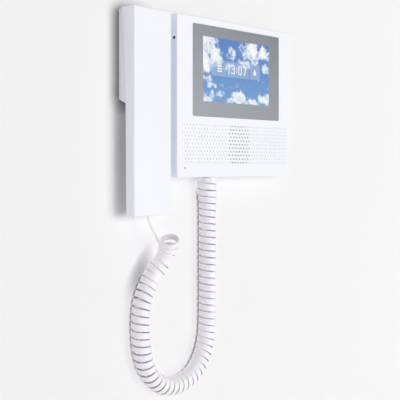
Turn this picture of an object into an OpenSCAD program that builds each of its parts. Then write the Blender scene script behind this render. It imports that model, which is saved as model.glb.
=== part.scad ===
// Wall-mounted video intercom monitor with a lift-off handset and a curly cord.
// X runs to the right along the wall, Y runs into the wall and Z is up. The origin is the
// centre of the wall bracket's screw pattern, on the wall's surface, so the room is at -Y.

/* [Monitor] */
// Width of the monitor housing
monitor_w = 186; // [184:1:190]
// Height of the monitor housing
monitor_h = 159; // [158:1:164]
// Depth from the wall to the front face
body_depth = 22; // [22:0.5:24]
// Wall thickness of the mouldings
cover_wall = 2; // [1.8:0.1:2.2]
// Radius of the housing's corners, seen from the front
corner_r = 2.5; // [2:0.5:4]
// Distance from the wall to the seam between front and rear covers
seam_depth = 8; // [7.5:0.5:8.5]

/* [Screen] */
// Width of the grey-bordered cover glass
glass_w = 141.5; // [140:0.5:143]
// Height of the cover glass
glass_h = 91.5; // [91:0.5:93]
// Distance from the housing's top edge to the glass
glass_top = 7; // [6.5:0.5:8]
// Width of the display module
lcd_w = 120.7; // [119:0.1:121]
// Height of the display module
lcd_h = 75.8; // [75:0.1:76]

/* [Grille] */
// Diameter of a grille hole
hole_d = 2.1; // [1.6:0.1:2.6]
// Hole spacing along a row
hole_pitch = 4.65; // [4.5:0.05:4.7]
// Spacing of the rows
row_pitch = 3.73; // [3.5:0.01:3.8]
// Number of rows
grille_rows = 11; // [9:1:11]
// Number of holes in a full row
grille_cols = 37; // [31:2:37]
// Depth of the blind holes that only continue the pattern
dimple_depth = 0.8; // [0.4:0.1:1]

/* [Handset] */
// Width of the handset
handset_w = 49.5; // [48:0.5:50]
// Length of the handset
handset_len = 194.5; // [190:0.5:200]
// Gap between the handset and the monitor
handset_gap = 8.4; // [8:0.1:9]
// Thickness of the handset at its ear end
ear_depth = 17.1; // [16.8:0.1:17.3]
// Thickness of the handset at its chin
chin_depth = 10.3; // [10:0.1:10.6]
// Radius of the ear recess in the handset's back
ear_dish_r = 14.4; // [13.5:0.1:15]

/* [Cord] */
// Outer diameter of the curly cord's coil
coil_d = 18.4; // [16:0.2:18.8]
// Diameter of the cord's plain tail
tail_d = 5; // [3:0.5:5.5]

/* [Wall bracket] */
// Width of the wall bracket
bracket_w = 140; // [130:1:144]
// Height of the wall bracket
bracket_h = 110; // [104:1:116]
// Thickness of the wall bracket
bracket_t = 1.5; // [1.2:0.1:1.5]
// Spacing of the two flush-box screws
box_pitch = 60; // [60:0.1:60.3]
// Diameter of the screw holes in the bracket
screw_hole_d = 4.4; // [4:0.1:5]

/* [Hidden] */
$fn = 48;
eps = 0.01;

// Layers through the depth, all negative because the wall is at Y = 0
back_y = -bracket_t;
seam_y = -seam_depth;
front_y = -body_depth;
inner_front_y = front_y + cover_wall;
rim_wall = cover_wall + 1.2;
floor_y = back_y - cover_wall;
board_front_y = -11;
board_back_y = -9.4;

// Outline of the monitor
left_x = -monitor_w / 2;
top_z = monitor_h / 2;
bottom_z = -monitor_h / 2;

// The glass and the display behind it, which sits a little to the left
glass_z = top_z - glass_top - glass_h / 2;
lcd_x = -1.3;
lcd_z = glass_z + 1.9;
glass_t = 1.1;
ledge_y = front_y + glass_t + 0.1;
lcd_front_y = ledge_y + 0.05;
lcd_t = 3;

// The grille and the oval speaker behind part of it
grille_top_z = -27.6;
speaker_x = 2.7;
speaker_z = -46;
speaker_w = 30;
speaker_h = 40;
open_x = 17.5;
open_z = 23;

// Screw places
case_screw_at = [[-84, 70], [84, 70], [-60, -71.5], [60, -71.5]];
post_at = [for (sx = [-63, 63]) for (sz = [-36, 36]) [lcd_x + sx, lcd_z + sz]];
low_post_at = [[-72, -58], [72, -58]];
wall_hole_at = [for (sx = [-55, 55]) for (sz = [-40, 40]) [sx, sz]];
box_hole_at = [[-box_pitch / 2, 0], [box_pitch / 2, 0]];
hook_at = [for (sx = [-40, 40]) for (sz = [-32, 30]) [sx, sz]];
bridge_screw_at = [[-89, 22], [-89, 48]];

// Pinholes
mic_x = -81.9;
mic_z = -70.4;
setup_y = -17.8;
setup_z = 56;

// The handset, its sloping back and the cradle under it
hs_x1 = left_x - handset_gap;
hs_x0 = hs_x1 - handset_w;
hs_x = (hs_x0 + hs_x1) / 2;
hs_bottom = top_z - handset_len;
knee_z = -12;
ear_y = front_y + ear_depth;
chin_y = front_y + chin_depth;
knee_y = chin_y + 0.98;
rest_gap = 0.3;
ear_z = 52;
hook_z = 8;
flange_y = [-5.4, -4.8];
magnet_z = 24;
cradle_top = 78;
cradle_lip = -10;
cradle_slope = 0.42;
cradle_wall = 1.6;
bridge_z = [4, 72];
cradle_split_y = -3;
cradle_screw_at = [[hs_x - 18, 2], [hs_x + 18, 2], [hs_x, 40]];
handset_screw_at = [[hs_x, 72], [hs_x, -70]];
hs_mic_z = -95;

// Cord ends
plug_x = -37.5;
plug_y = -11.5;
hs_plug_x = -127.5;
hs_plug_y = -16.7;
plug_half = [3.8, 2.5];
socket_half = [3.95, 2.6];

// The coil's centre line, from its free end under the handset to the monitor's underside
coil_route = [
    [-107, -24, -138], [-105, -21.5, -146], [-106, -17.6, -155], [-110, -14.2, -163.5],
    [-115, -11, -172], [-119.5, -9.8, -180], [-124, -9.6, -188], [-127.5, -9.6, -196],
    [-129.5, -9.6, -205], [-130.5, -9.6, -217], [-130, -9.6, -230], [-128.5, -9.6, -243],
    [-125, -9.6, -255], [-119, -9.6, -266], [-110, -9.6, -275], [-99, -9.6, -281],
    [-86, -9.6, -283.5], [-74, -9.6, -282.5], [-62.5, -9.6, -279], [-52.5, -9.6, -272.5],
    [-45, -9.6, -263.5], [-39.5, -9.6, -253], [-36, -9.6, -241], [-34.5, -9.6, -227],
    [-34, -9.6, -205], [-34, -9.6, -180], [-34, -9.6, -155], [-34, -9.6, -130],
    [-34, -9.6, -108], [-34.4, -9.8, -98], [-36, -10.4, -90], [-37.1, -10.9, -86],
    [-37.1, -10.9, -82.9], [-37.1, -10.9, -80]
];
// The plain tail, from the handset's plug to the first turn
tail_route = [
    [-127.5, -16.7, -113.4], [-127.4, -16.7, -116], [-125.9, -16.9, -120.5],
    [-123.2, -17.8, -126.5], [-120.4, -19.2, -132], [-116, -21.4, -135.4]
];

// Y of the handset's back at height z
function back_of_handset(z) = z > knee_z
    ? knee_y + (ear_y - knee_y) * (z - knee_z) / (top_z - knee_z)
    : chin_y + (knee_y - chin_y) * (z - hs_bottom) / (knee_z - hs_bottom);

// Catmull-Rom curve through a list of points, n steps to each stretch
function spline_at(a, b, c, d, t) = 0.5 * (2 * b + (c - a) * t
    + (2 * a - 5 * b + 4 * c - d) * t * t + (3 * b - a - 3 * c + d) * t * t * t);
function spline(p, n) = let (last = len(p) - 1) [
    for (i = [0:last - 1])
        for (k = [0:n - 1])
            spline_at(p[max(i - 1, 0)], p[i], p[i + 1], p[min(i + 2, last)], k / n),
    p[last]
];
function unit(v) = v / norm(v);
function heading(p, i) = unit(p[min(i + 1, len(p) - 1)] - p[max(i - 1, 0)]);

// ---------- shared shapes ----------

// A block between two corners
module block(x, y, z) {
    translate([x[0], y[0], z[0]]) cube([x[1] - x[0], y[1] - y[0], z[1] - z[0]]);
}

// A round bar along Y at (x, z)
module bar_y(at, y, r) {
    translate([at[0], y[1], at[1]]) rotate([90, 0, 0]) cylinder(h = y[1] - y[0], r = r);
}

// A bar along X at (y, z)
module bar_x(x, y, z, r) {
    translate([x[0], y, z]) rotate([0, 90, 0]) cylinder(h = x[1] - x[0], r = r);
}

// A rectangle with rounded corners
module rounded(w, h, r) {
    square([w - 2 * r, h], center = true);
    square([w, h - 2 * r], center = true);
    for (sx = [-1, 1]) {
        for (sy = [-1, 1]) {
            translate([sx * (w / 2 - r), sy * (h / 2 - r)]) circle(r = r);
        }
    }
}

// An upright oval with half-round ends
module oval(w, h) {
    square([w, h - w], center = true);
    for (sy = [-1, 1]) translate([0, sy * (h - w) / 2]) circle(r = w / 2);
}

// A flat outline facing the room, between two depths
module slab(at, y) {
    translate([at[0], y[1], at[1]]) rotate([90, 0, 0]) linear_extrude(y[1] - y[0]) children();
}

module plate(w, h, r, y, at = [0, 0]) {
    slab(at, y) rounded(w, h, r);
}

// An outline in (Y, Z) drawn out along X
module side_profile(points, x) {
    translate([x[0], 0, 0]) rotate([90, 0, 90]) linear_extrude(x[1] - x[0]) polygon(points);
}

// Screws along Y with their heads towards the wall
module screws(at, head_y, head_h, head_r, shank_r, len) {
    for (p = at) {
        difference() {
            union() {
                bar_y(p, [head_y - head_h, head_y], head_r);
                bar_y(p, [head_y - head_h - len, head_y - head_h + eps], shank_r);
            }
            block([p[0] - 0.3, p[0] + 0.3], [head_y - 0.7, head_y + 1], [p[1] - 1.2, p[1] + 1.2]);
            block([p[0] - 1.2, p[0] + 1.2], [head_y - 0.7, head_y + 1], [p[1] - 0.3, p[1] + 0.3]);
        }
    }
}

// A thin wire on a smooth curve through a list of points
module lead(points, r) {
    tube(spline(points, 4), r, 8);
}

// A tube of constant section along a smooth curve
module tube(path, r, sides) {
    n = len(path);
    rings = [
        for (i = [0:n - 1])
            let (t = heading(path, i), u = unit(cross(t, [0, 1, 0])), v = cross(t, u))
                for (k = [0:sides - 1])
                    path[i] + r * cos(360 * k / sides) * u + r * sin(360 * k / sides) * v
    ];
    walls = [
        for (i = [0:n - 2])
            for (k = [0:sides - 1])
                let (a = i * sides + k, b = i * sides + (k + 1) % sides)
                    [b, a, a + sides, b + sides]
    ];
    start_cap = [[for (k = [0:sides - 1]) k]];
    end_cap = [[for (k = [sides - 1:-1:0]) (n - 1) * sides + k]];
    polyhedron(rings, concat(walls, start_cap, end_cap), convexity = 8);
}

// ---------- wall bracket ----------

// A hook that stands off the bracket and turns up behind the rear cover's floor
module bracket_hook(at) {
    block([at[0] - 5, at[0] + 5], [floor_y - 1.4, back_y + 0.5], [at[1], at[1] + 1.2]);
    block([at[0] - 5, at[0] + 5], [floor_y - 1.4, floor_y - 0.3], [at[1], at[1] + 4.5]);
}

module wall_bracket() {
    color("silver") {
        difference() {
            plate(bracket_w, bracket_h, 4, [back_y, 0]);
            plate(46, 36, 3, [back_y - 1, 1]);
            for (p = concat(wall_hole_at, box_hole_at)) {
                bar_y(p, [back_y - 1, 1], screw_hole_d / 2);
            }
        }
        for (p = hook_at) bracket_hook(p);
    }
}

// ---------- monitor housing ----------

module case_bosses(y) {
    for (p = case_screw_at) bar_y(p, y, 3.2);
}

module vent_slots(z) {
    for (i = [-6:6]) plate(2, 13, 0.9, [floor_y - 1, back_y + 1], [i * 6, z]);
}

module rear_cover() {
    color("whitesmoke") difference() {
        union() {
            difference() {
                plate(monitor_w, monitor_h, corner_r, [seam_y, back_y]);
                plate(monitor_w - 2 * rim_wall, monitor_h - 2 * rim_wall, 1, [seam_y - 1, floor_y]);
            }
            difference() {
                plate(monitor_w - 2 * cover_wall - 0.3, monitor_h - 2 * cover_wall - 0.3, 1,
                    [seam_y - 2, seam_y + eps]);
                plate(monitor_w - 2 * rim_wall, monitor_h - 2 * rim_wall, 1, [seam_y - 3, seam_y + 1]);
            }
            case_bosses([seam_y - 1.9, floor_y + eps]);
        }
        plate(44, 32, 2, [floor_y - 1, back_y + 1]);
        vent_slots(-46);
        vent_slots(62);
        for (p = hook_at) {
            block([p[0] - 5.6, p[0] + 5.6], [floor_y - 1, back_y + 1], [p[1] - 4.6, p[1] + 1.3]);
        }
        for (p = case_screw_at) {
            bar_y(p, [seam_y - 3, back_y + 1], 1.7);
            bar_y(p, [back_y - 1.8, back_y + 1], 3);
        }
        for (p = bridge_screw_at) {
            bar_y(p, [floor_y - 1, back_y + 1], 1.45);
            bar_y(p, [back_y - 1.1, back_y + 1], 2.3);
        }
        // Clearance for the heads of the bracket's screws
        for (p = concat(wall_hole_at, box_hole_at)) bar_y(p, [floor_y - 1, back_y + 1], 4.3);
        // Way in for the cradle's tongues
        block([left_x - 1, left_x + 3.3], [floor_y - 2.3, floor_y], [14.8, 55.2]);
        // Room for the cord socket
        block([plug_x - 7.2, plug_x + 7.2], [seam_y - 3, seam_y], [bottom_z + 1, bottom_z + 6]);
    }
}

// True where a grille hole lies over the speaker and goes right through
function over_speaker(x, z) =
    pow(abs(x - speaker_x) / open_x, 3) + pow(abs(z - speaker_z) / open_z, 3) < 1;

module grille_holes() {
    for (row = [0:grille_rows - 1]) {
        count = row % 2 == 0 ? grille_cols : grille_cols - 1;
        z = grille_top_z - row * row_pitch;
        for (i = [0:count - 1]) {
            x = (i - (count - 1) / 2) * hole_pitch;
            depth = over_speaker(x, z) ? cover_wall + 1 : dimple_depth;
            bar_y([x, z], [front_y - 1, front_y + depth], hole_d / 2, $fn = 24);
        }
    }
}

module front_cover() {
    color("white") difference() {
        union() {
            difference() {
                plate(monitor_w, monitor_h, corner_r, [front_y, seam_y]);
                plate(monitor_w - 2 * cover_wall, monitor_h - 2 * cover_wall, 1,
                    [inner_front_y, seam_y + 1]);
            }
            case_bosses([inner_front_y - eps, seam_y - 2]);
            for (p = low_post_at) bar_y(p, [inner_front_y - eps, board_front_y - 0.05], 2.8);
            difference() {
                bar_y([mic_x, mic_z], [inner_front_y - eps, inner_front_y + 2.5], 5.4);
                bar_y([mic_x, mic_z], [inner_front_y, inner_front_y + 3], 4.3);
            }
        }
        plate(glass_w + 0.2, glass_h + 0.2, 2, [front_y - 1, ledge_y], [0, glass_z]);
        plate(lcd_w + 1.3, lcd_h + 1.2, 1, [front_y - 1, inner_front_y + 1], [lcd_x, lcd_z]);
        grille_holes();
        bar_y([mic_x, mic_z], [front_y - 1, inner_front_y + 1], 0.8);
        bar_x([left_x - 1, left_x + cover_wall + 1], setup_y, setup_z, 1.3);
        for (p = case_screw_at) bar_y(p, [seam_y - 9, seam_y + 1], 1.5);
        for (p = low_post_at) bar_y(p, [board_front_y - 6, board_front_y + 1], 1.1);
        // Way out for the cord's plug, open to the seam
        block([plug_x - 5, plug_x + 5], [plug_y - 3.3, seam_y + 1], [bottom_z - 1, bottom_z + 3]);
        // Notch for a screwdriver under the front edge
        block([33.5, 40.5], [-20.5, -17.5], [bottom_z - 1, bottom_z + 1]);
    }
}

module case_screws() {
    color("gray") screws(case_screw_at, back_y - 0.1, 1.6, 2.7, 1.45, 12);
}

// ---------- display ----------

module screen_glass() {
    color("slategray") plate(glass_w, glass_h, 2, [front_y + 0.05, front_y + 0.05 + glass_t],
        [0, glass_z]);
}

module lcd_panel() {
    color("cornflowerblue") plate(lcd_w, lcd_h, 0.5, [lcd_front_y, lcd_front_y + lcd_t],
        [lcd_x, lcd_z]);
}

module display_frame() {
    frame_front = inner_front_y + 0.2;
    frame_back = -15.6;
    color("dimgray") difference() {
        union() {
            plate(132, 87, 2, [frame_front, frame_back], [lcd_x, lcd_z - 0.5]);
            for (p = post_at) bar_y(p, [frame_back - eps, board_front_y - 0.05], 2.5);
        }
        plate(lcd_w + 0.6, lcd_h + 0.6, 0.8, [frame_front - 1, lcd_front_y + lcd_t + 0.05],
            [lcd_x, lcd_z]);
        plate(100, 58, 2, [frame_front - 1, frame_back + 1], [lcd_x, lcd_z]);
        for (p = post_at) bar_y(p, [board_front_y - 5, board_front_y + 1], 1.1);
    }
}

// A flat ribbon that steps from the display's back down to its connector
module display_ribbon() {
    back = lcd_front_y + lcd_t;
    color("darkorange") {
        block([-10, 8], [back + 0.1, back + 0.4], [2, 14]);
        block([-10, 8], [back + 0.1, -12.2], [2, 2.3]);
        block([-10, 8], [-12.5, -12.2], [-8.8, 2.3]);
    }
}

// ---------- main board and what is on it ----------

module main_board() {
    color("seagreen") {
        difference() {
            union() {
                block([-80, 80], [board_front_y, board_back_y], [-66, 72]);
                block([-87, -79], [board_front_y, board_back_y], [50, 61]);
            }
            for (p = concat(post_at, low_post_at)) {
                bar_y(p, [board_front_y - 1, board_back_y + 1], 1.3);
            }
            block([plug_x - 6.9, plug_x + 6.9], [board_front_y - 1, board_back_y + 1], [-67, -63.6]);
        }
        // Processor, memory, power and codec chips on the front
        block([-40, -26], [board_front_y - 1.4, board_front_y + eps], [16, 30]);
        block([-18, -8], [board_front_y - 1.2, board_front_y + eps], [20, 32]);
        block([24, 34], [board_front_y - 1.6, board_front_y + eps], [-12, -4]);
        block([44, 50], [board_front_y - 1.6, board_front_y + eps], [14, 24]);
        // Ribbon connector
        block([-12, 10], [board_front_y - 1, board_front_y + eps], [-12.6, -9]);
        // Capacitors and a coil at the back
        for (x = [30, 42]) bar_y([x, 20], [board_back_y - eps, board_back_y + 4.6], 4);
        block([-44, -34], [board_back_y - eps, board_back_y + 3.5], [-4, 6]);
    }
}

module board_screws() {
    color("gray") screws(concat(post_at, low_post_at), board_back_y + 1.1, 1.1, 2.2, 1.05, 5);
}

module terminal_block() {
    color("mediumseagreen") difference() {
        block([-13.5, 13.5], [board_back_y, -2.4], [4, 13]);
        for (i = [-2:2]) {
            block([i * 5 - 1.6, i * 5 + 1.6], [-7.6, -4.4], [3, 10]);
            bar_y([i * 5, 8.5], [-5, -1], 1.6, $fn = 24);
        }
    }
}

module terminal_screws() {
    color("silver") for (i = [-2:2]) {
        difference() {
            bar_y([i * 5, 8.5], [-4.4, -2.8], 1.5, $fn = 24);
            block([i * 5 - 2, i * 5 + 2], [-3.4, -2], [8.2, 8.8]);
        }
    }
}

// The hole of a socket for a four-way cord plug
module socket_hole(at, z) {
    block([at[0] - socket_half[0], at[0] + socket_half[0]],
        [at[1] - socket_half[1], at[1] + socket_half[1]], z);
}

module cord_socket() {
    color("dimgray") difference() {
        block([plug_x - 6.6, plug_x + 6.6], [plug_y - 3.9, seam_y - 0.05], [-77.4, -64]);
        socket_hole([plug_x, plug_y], [-78, -66.8]);
    }
}

module setup_switch() {
    color("black") difference() {
        block([-87, -82.5], [-19.5, board_front_y], [setup_z - 3.5, setup_z + 3.5]);
        bar_x([-88, -84.5], setup_y, setup_z, 1.6);
    }
}

module setup_button() {
    color("ivory") bar_x([-90.6, -85.2], setup_y, setup_z, 1.4);
}

// ---------- sound ----------

module speaker() {
    at = [speaker_x, speaker_z];
    color("dimgray") difference() {
        union() {
            slab(at, [-18.8, -17.3]) oval(speaker_w, speaker_h);
            slab(at, [-17.3 - eps, -15]) oval(speaker_w - 4, speaker_h - 4);
            bar_y(at, [-15 - eps, -12.3], 9);
        }
        slab(at, [-19.8, -17.6]) oval(speaker_w - 5, speaker_h - 5);
    }
    color("dimgray") bar_y(at, [-17.6 - 0.7, -17.6 + eps], 4.5);
}

module speaker_gasket() {
    color("black") difference() {
        slab([speaker_x, speaker_z], [-19.8, -18.8]) oval(speaker_w, speaker_h);
        slab([speaker_x, speaker_z], [-20.8, -17.8]) oval(speaker_w - 3, speaker_h - 3);
    }
}

module speaker_cloth() {
    color("black") slab([speaker_x, speaker_z], [inner_front_y, -19.8]) oval(38, 48);
}

module speaker_lead() {
    color("firebrick") lead([[17, -16.6, -38], [20, -14, -32], [20, -12, -24]], 0.5);
}

module microphone() {
    color("silver") bar_y([mic_x, mic_z], [-19, -16.3], 2.95);
}

module mic_boot() {
    color("black") difference() {
        bar_y([mic_x, mic_z], [inner_front_y, -16.2], 4.2);
        bar_y([mic_x, mic_z], [-19, -15], 3);
        bar_y([mic_x, mic_z], [inner_front_y - 1, -18], 1);
    }
}

// ---------- cradle ----------

// Y of the cradle's face at height z, just clear of the handset
function cradle_face(z) = back_of_handset(z) + rest_gap;

// Height of the cradle's sloping bottom at depth y
function cradle_bottom(y) = cradle_lip + cradle_slope * (y - cradle_face(cradle_lip));

module cradle_base() {
    color("whitesmoke") difference() {
        union() {
            side_profile([
                [back_y, cradle_bottom(back_y)], [back_y, cradle_top],
                [cradle_split_y, cradle_top], [cradle_split_y, cradle_bottom(cradle_split_y)]
            ], [hs_x0, hs_x1]);
            block([hs_x1 + 0.4, left_x], [seam_y, back_y], bridge_z);
            block([hs_x1 - eps, hs_x1 + 0.5], [cradle_split_y, back_y], bridge_z);
            for (z = [[15, 30], [40, 55]]) {
                block([left_x - eps, left_x + 7], [floor_y - 2.1, floor_y - 0.1], z);
            }
        }
        // Channel for the hook switch's wires
        block([hs_x1 - 0.1, left_x + 1], [-5.3, -3.5], [33, 35]);
        for (p = cradle_screw_at) {
            bar_y(p, [cradle_split_y - 1, back_y + 1], 1.3);
            bar_y(p, [back_y - 1, back_y + 1], 2.4);
        }
        for (p = bridge_screw_at) bar_y(p, [-7, back_y], 1.15);
    }
}

module cradle_cover() {
    color("white") difference() {
        union() {
            difference() {
                side_profile([
                    [cradle_split_y, cradle_bottom(cradle_split_y)], [cradle_split_y, cradle_top],
                    [cradle_face(cradle_top), cradle_top], [cradle_face(cradle_lip), cradle_lip]
                ], [hs_x0, hs_x1]);
                side_profile([
                    [cradle_split_y + 0.1, -5.2], [cradle_split_y + 0.1, 70],
                    [cradle_face(70) + cradle_wall, 70], [cradle_face(-7.4) + cradle_wall, -7.4]
                ], [hs_x0 + cradle_wall, hs_x1 - cradle_wall]);
            }
            for (p = cradle_screw_at) {
                bar_y(p, [cradle_face(p[1]) + 1, cradle_split_y], 2.6);
            }
            bar_y([hs_x, magnet_z], [cradle_face(magnet_z) + 1, -4], 6.4);
            bar_y([hs_x, ear_z], [-9.3, -5.6], ear_dish_r - 0.8);
        }
        bar_y([hs_x, ear_z], [-10, -7.6], ear_dish_r - 2.8);
        bar_y([hs_x, hook_z], [-12, -2], 2.9);
        bar_y([hs_x, magnet_z], [-6.45, -2], 5.1);
        for (p = cradle_screw_at) {
            bar_y(p, [cradle_face(p[1]) + 1.2, cradle_split_y + 1], 1.15);
        }
        block([hs_x1 - 3, hs_x1 + 1], [-5.3, cradle_split_y + 1], [33, 35]);
    }
}

module cradle_screws() {
    color("gray") for (p = cradle_screw_at) {
        screws([p], back_y - 0.1, 0.9, 2.2, 1.1, min(4, abs(cradle_face(p[1])) - 3.9));
    }
}

module bridge_screws() {
    color("gray") screws(bridge_screw_at, back_y - 0.1, 0.9, 2.1, 1.1, 3);
}

module cradle_magnet() {
    color("silver") bar_y([hs_x, magnet_z], [-6.4, -3.9], 5);
}

// The spring-loaded pin that the handset holds down
module hook_plunger() {
    tip_y = back_of_handset(hook_z) + 0.2;
    color("white") {
        bar_y([hs_x, hook_z], [tip_y, flange_y[1]], 2.6);
        bar_y([hs_x, hook_z], flange_y, 3.6);
        block([hs_x - 15, hs_x], flange_y, [hook_z - 1.5, hook_z + 1.5]);
    }
}

// A short compression spring between the pin and the cradle's base
module hook_spring() {
    turns = 3;
    steps = 12;
    wire = 0.18;
    coil_r = 2.2;
    y_start = cradle_split_y - wire - 0.03;
    y_end = flange_y[1] + wire + 0.03;
    helix = [
        for (i = [0:turns * steps])
            let (f = i / (turns * steps), a = 360 * f * turns)
                [hs_x + coil_r * cos(a), y_start + (y_end - y_start) * f, hook_z + coil_r * sin(a)]
    ];
    color("silver") tube(helix, wire, 6);
}

module hook_switch() {
    color("black") {
        block([hs_x - 17, hs_x - 9], [-4.5, cradle_split_y], [hook_z - 3, hook_z + 3]);
        bar_y([hs_x - 13, hook_z], [-4.7, -4.5 + eps], 0.8);
    }
}

module hook_lead() {
    start = [hs_x - 13, -4.1, hook_z + 3.6];
    color("firebrick") lead([
        start, [hs_x - 13, -4.4, 30], [hs_x - 8, -4.4, 34], [hs_x1, -4.4, 34],
        [-86, -4.4, 34], [-81, -4.8, 34], [-76, -8.6, 34]
    ], 0.7);
}

// ---------- handset ----------

module handset_outline(x) {
    side_profile([
        [front_y, top_z], [front_y, hs_bottom], [chin_y, hs_bottom],
        [knee_y, knee_z], [ear_y, top_z]
    ], x);
}

module handset_outer() {
    color("white") difference() {
        union() {
            difference() {
                handset_outline([hs_x0, hs_x1]);
                block([hs_x0 + cover_wall, hs_x1 - cover_wall], [inner_front_y, 0],
                    [hs_bottom + cover_wall, top_z - cover_wall]);
            }
            for (p = handset_screw_at) {
                bar_y(p, [inner_front_y - eps, back_of_handset(p[1]) - 2.2], 2.8);
            }
            difference() {
                bar_y([hs_x, ear_z], [inner_front_y - eps, -16], 15.2);
                bar_y([hs_x, ear_z], [inner_front_y, -15], 13.9);
            }
        }
        for (p = handset_screw_at) bar_y(p, [-18.5, -4], 1.15);
        block([hs_plug_x - 4.6, hs_plug_x + 4.6], [-19.9, -13.3], [hs_bottom - 1, hs_bottom + 3]);
    }
}

module handset_inner() {
    z_low = hs_bottom + cover_wall + 0.2;
    z_high = top_z - cover_wall - 0.2;
    skin = 1.8;
    x_in = [hs_x0 + cover_wall + 0.2, hs_x1 - cover_wall - 0.2];
    color("whitesmoke") difference() {
        union() {
            side_profile([
                [back_of_handset(z_high), z_high], [knee_y, knee_z], [back_of_handset(z_low), z_low],
                [back_of_handset(z_low) - skin, z_low], [knee_y - skin, knee_z],
                [back_of_handset(z_high) - skin, z_high]
            ], x_in);
            intersection() {
                bar_y([hs_x, ear_z], [-11.6, -2], ear_dish_r + 1.8);
                handset_outline(x_in);
            }
        }
        bar_y([hs_x, ear_z], [-9.9, 0], ear_dish_r);
        for (a = [0:60:300]) {
            bar_y([hs_x + 5 * cos(a), ear_z + 5 * sin(a)], [-12, -9], 1, $fn = 24);
        }
        bar_y([hs_x, ear_z], [-12, -9], 1, $fn = 24);
        bar_y([hs_x, hs_mic_z], [-15, -9], 0.9, $fn = 24);
        for (p = handset_screw_at) {
            bar_y(p, [back_of_handset(p[1]) - 3, 0], 1.3);
            bar_y(p, [back_of_handset(p[1]) - 1.1, 0], 2.5);
        }
    }
}

module handset_screws() {
    color("gray") for (p = handset_screw_at) {
        screws([p], back_of_handset(p[1]) - 0.2, 0.9, 2.2, 1.1, 5);
    }
}

module ear_capsule() {
    color("dimgray") {
        bar_y([hs_x, ear_z], [-15.5, -12.3], 13.5);
        bar_y([hs_x, ear_z], [-18.4, -15.5 + eps], 10);
    }
}

module ear_gasket() {
    color("black") difference() {
        bar_y([hs_x, ear_z], [-12.3, -11.6], 13.5);
        bar_y([hs_x, ear_z], [-13, -11], 9.5);
    }
}

module handset_mic() {
    color("silver") bar_y([hs_x, hs_mic_z], [-16.6, -13.95], 2.95);
}

module handset_mic_boot() {
    color("black") difference() {
        bar_y([hs_x, hs_mic_z], [-16.6, -13.35], 4.2);
        bar_y([hs_x, hs_mic_z], [-17, -13.95], 3);
        bar_y([hs_x, hs_mic_z], [-15, -13], 0.9);
    }
}

module handset_board() {
    color("seagreen") block([hs_x - 14, hs_x + 14], [-18, -16.8], [-100, -78]);
}

module handset_socket() {
    color("dimgray") difference() {
        block([hs_plug_x - 6, hs_plug_x + 6], [-19.85, -13.6], [-112.9, -100]);
        socket_hole([hs_plug_x, hs_plug_y], [-114, -101.3]);
    }
}

module handset_weight() {
    color("darkgray") plate(28, 54, 2, [-19.95, -17.4], [hs_x, -35]);
}

module handset_magnet() {
    color("silver") bar_y([hs_x, magnet_z], [-13.1, -10.65], 5);
}

module ear_lead() {
    color("firebrick") lead([
        [hs_x + 8, -14.6, 40.2], [hs_x + 18, -15.5, 28], [hs_x + 18, -16.1, 10],
        [hs_x + 18, -16.1, -70], [hs_x + 10, -16.1, -82]
    ], 0.6);
}

// ---------- cord ----------

// A flat four-way plug with its latch
module plug(at, z) {
    color("gainsboro") {
        block([at[0] - plug_half[0], at[0] + plug_half[0]],
            [at[1] - plug_half[1], at[1] + plug_half[1]], z);
    }
}

module cord_plug_handset() {
    plug([hs_plug_x, hs_plug_y], [-113.3, -101.5]);
}

module cord_plug_monitor() {
    plug([plug_x, plug_y], [-80, -67]);
}

module cord_tail() {
    color("white") tube(spline(tail_route, 2), tail_d / 2, 8);
}

module cord_coil() {
    color("white") tube(spline(coil_route, 2), coil_d / 2, 12);
}

wall_bracket();
rear_cover();
front_cover();
screen_glass();
lcd_panel();
display_frame();
main_board();
terminal_block();
terminal_screws();
speaker();
speaker_gasket();
speaker_cloth();
microphone();
mic_boot();
setup_switch();
setup_button();
cord_socket();
display_ribbon();
speaker_lead();
case_screws();
board_screws();
bridge_screws();
cradle_base();
cradle_cover();
cradle_screws();
cradle_magnet();
hook_plunger();
hook_spring();
hook_switch();
hook_lead();
handset_outer();
handset_inner();
ear_capsule();
ear_gasket();
handset_mic();
handset_mic_boot();
handset_board();
handset_socket();
handset_weight();
handset_magnet();
handset_screws();
ear_lead();
cord_plug_handset();
cord_plug_monitor();
cord_tail();
cord_coil();
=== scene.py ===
import math

import bmesh
import bpy
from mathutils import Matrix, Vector
from mathutils.geometry import delaunay_2d_cdt


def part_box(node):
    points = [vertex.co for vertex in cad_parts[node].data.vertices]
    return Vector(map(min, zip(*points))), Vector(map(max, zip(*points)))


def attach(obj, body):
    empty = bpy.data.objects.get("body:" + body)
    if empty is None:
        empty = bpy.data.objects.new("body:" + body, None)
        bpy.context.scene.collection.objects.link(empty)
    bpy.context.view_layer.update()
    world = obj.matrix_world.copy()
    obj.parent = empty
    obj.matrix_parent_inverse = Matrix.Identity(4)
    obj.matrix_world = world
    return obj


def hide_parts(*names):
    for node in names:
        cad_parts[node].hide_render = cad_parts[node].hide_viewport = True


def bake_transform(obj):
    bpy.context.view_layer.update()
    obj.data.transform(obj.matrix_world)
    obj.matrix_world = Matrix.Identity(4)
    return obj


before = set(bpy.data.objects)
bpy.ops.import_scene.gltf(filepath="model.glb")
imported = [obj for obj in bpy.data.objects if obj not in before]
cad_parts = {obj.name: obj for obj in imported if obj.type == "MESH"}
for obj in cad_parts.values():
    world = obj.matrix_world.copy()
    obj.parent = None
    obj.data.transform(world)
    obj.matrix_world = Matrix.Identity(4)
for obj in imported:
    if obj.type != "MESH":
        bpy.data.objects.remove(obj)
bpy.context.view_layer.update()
MM = 0.001
scene = bpy.context.scene


# ---------- camera ----------

# The view is level, and turned this far to the right of straight at the wall
CAMERA_TURN = math.radians(48.5)
CAMERA_PLACE = (-0.7313, -0.6160, -0.0674)
CAMERA_LENS = 81.4  # mm, on a sensor 36 mm wide
CAMERA_RISE = -0.0875  # vertical shift, in widths of the picture

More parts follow.
